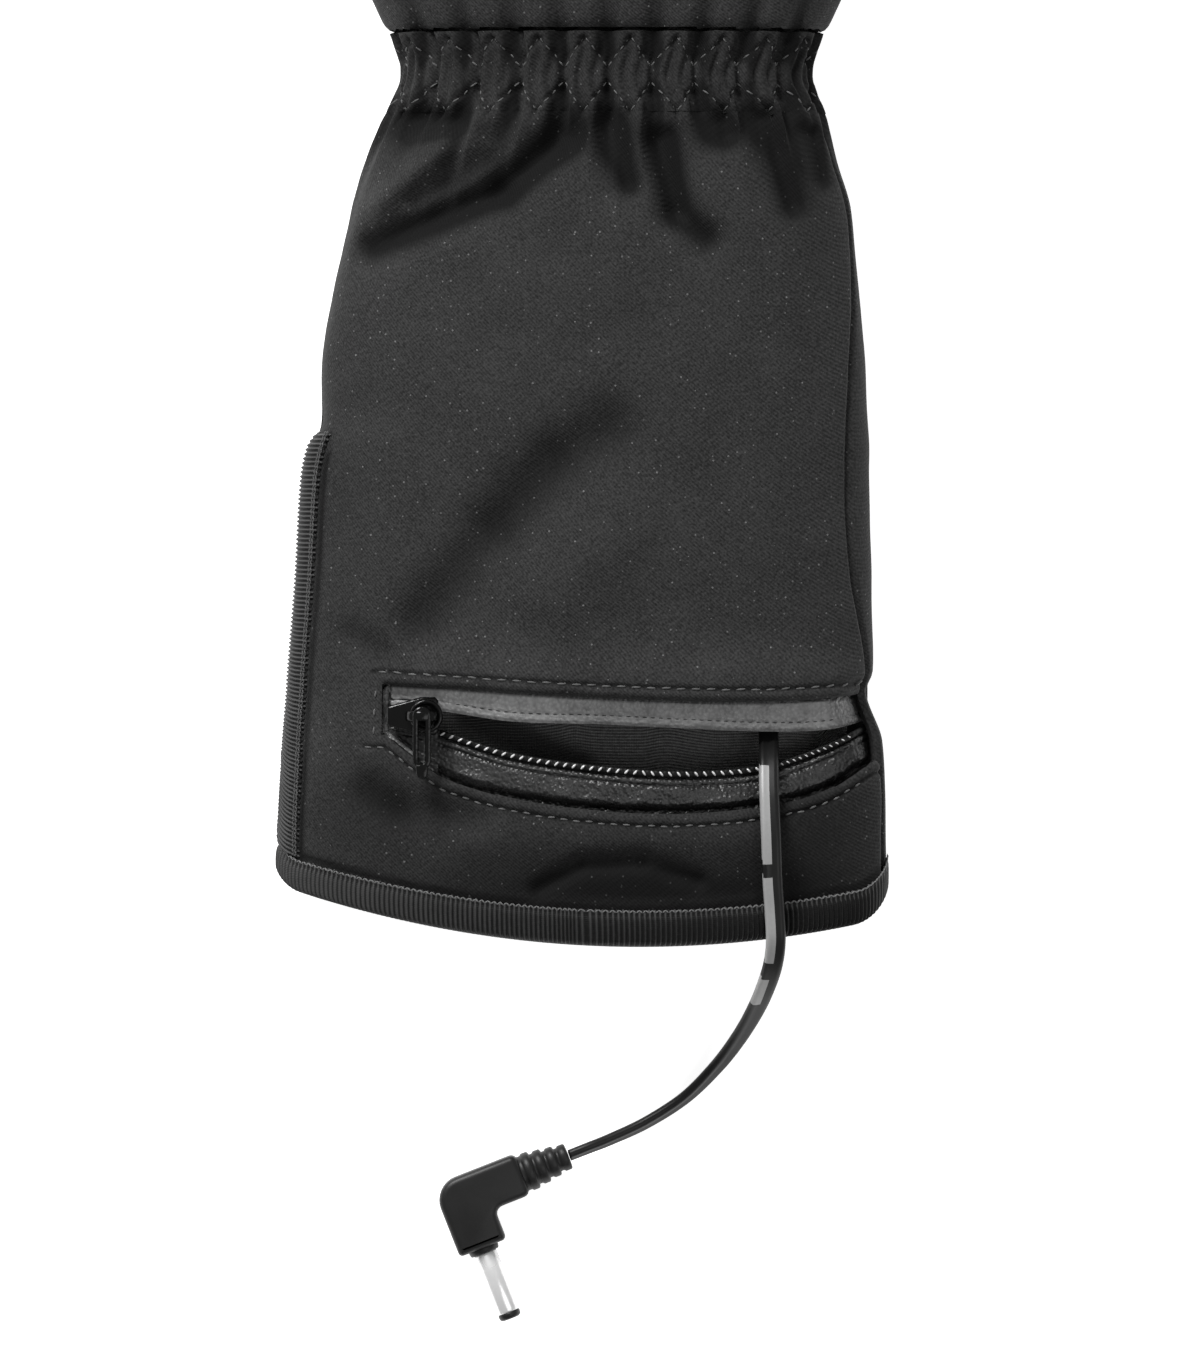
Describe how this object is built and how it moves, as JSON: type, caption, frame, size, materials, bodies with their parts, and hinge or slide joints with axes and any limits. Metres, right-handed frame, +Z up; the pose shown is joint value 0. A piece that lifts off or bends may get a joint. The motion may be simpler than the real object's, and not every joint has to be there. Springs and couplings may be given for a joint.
{
  "type": "heated glove",
  "caption": "Left softshell heated glove lying palm down: long cuff with side vent, gathered wrist, unzipped battery pocket and a short lead with a right-angle plug.",
  "frame": {"origin": "middle of the cuff's flat underside, on the floor that the glove lies on", "axes": "+X across the cuff to the thumb side, +Y from the hem to the fingertips, +Z up through the back of the hand"},
  "size_m": [0.1331, 0.3714, 0.0281],
  "materials": {
    "softshell": "matte fine twill softshell",
    "binding": "ribbed grosgrain tape with a slight sheen",
    "lining": "rib knit lining",
    "coated_tape": "pebbled polyurethane coated zip tape, satin",
    "zip_coil": "glossy nylon coil",
    "slider": "gloss black enamel, worn at the edges",
    "vinyl": "satin moulded vinyl",
    "plug_metal": "bright nickel plate"
  },
  "bodies": {
    "glove": {"cuff_front_panel": "softshell", "cuff_back_panel": "softshell", "wrist_gathers": "softshell", "hand_shell": "softshell", "thumb": "softshell", "finger_little": "softshell", "finger_ring": "softshell", "finger_middle": "softshell", "finger_index": "softshell", "binding_hem": "binding", "binding_vent_front": "binding", "binding_vent_back": "binding", "zip_tape_upper": "coated_tape", "zip_tape_lower": "coated_tape", "zip_coil_upper": "zip_coil", "zip_coil_lower": "zip_coil", "pocket_bag": "lining", "zip_slider": "slider", "lead_gland": "vinyl", "lead": "vinyl", "plug_body": "vinyl", "plug_sleeve": "plug_metal", "plug_tip": "vinyl"},
    "zip_pull": {"zip_pull": "slider"}
  },
  "joints": [
    {"name": "zip_pull_swing", "type": "hinge", "parent": "glove", "child": "zip_pull", "pos_m": [-0.0262, -0.029, 0.02645], "axis": [-1, 0, 0], "range_deg": [0, 150]}
  ]
}
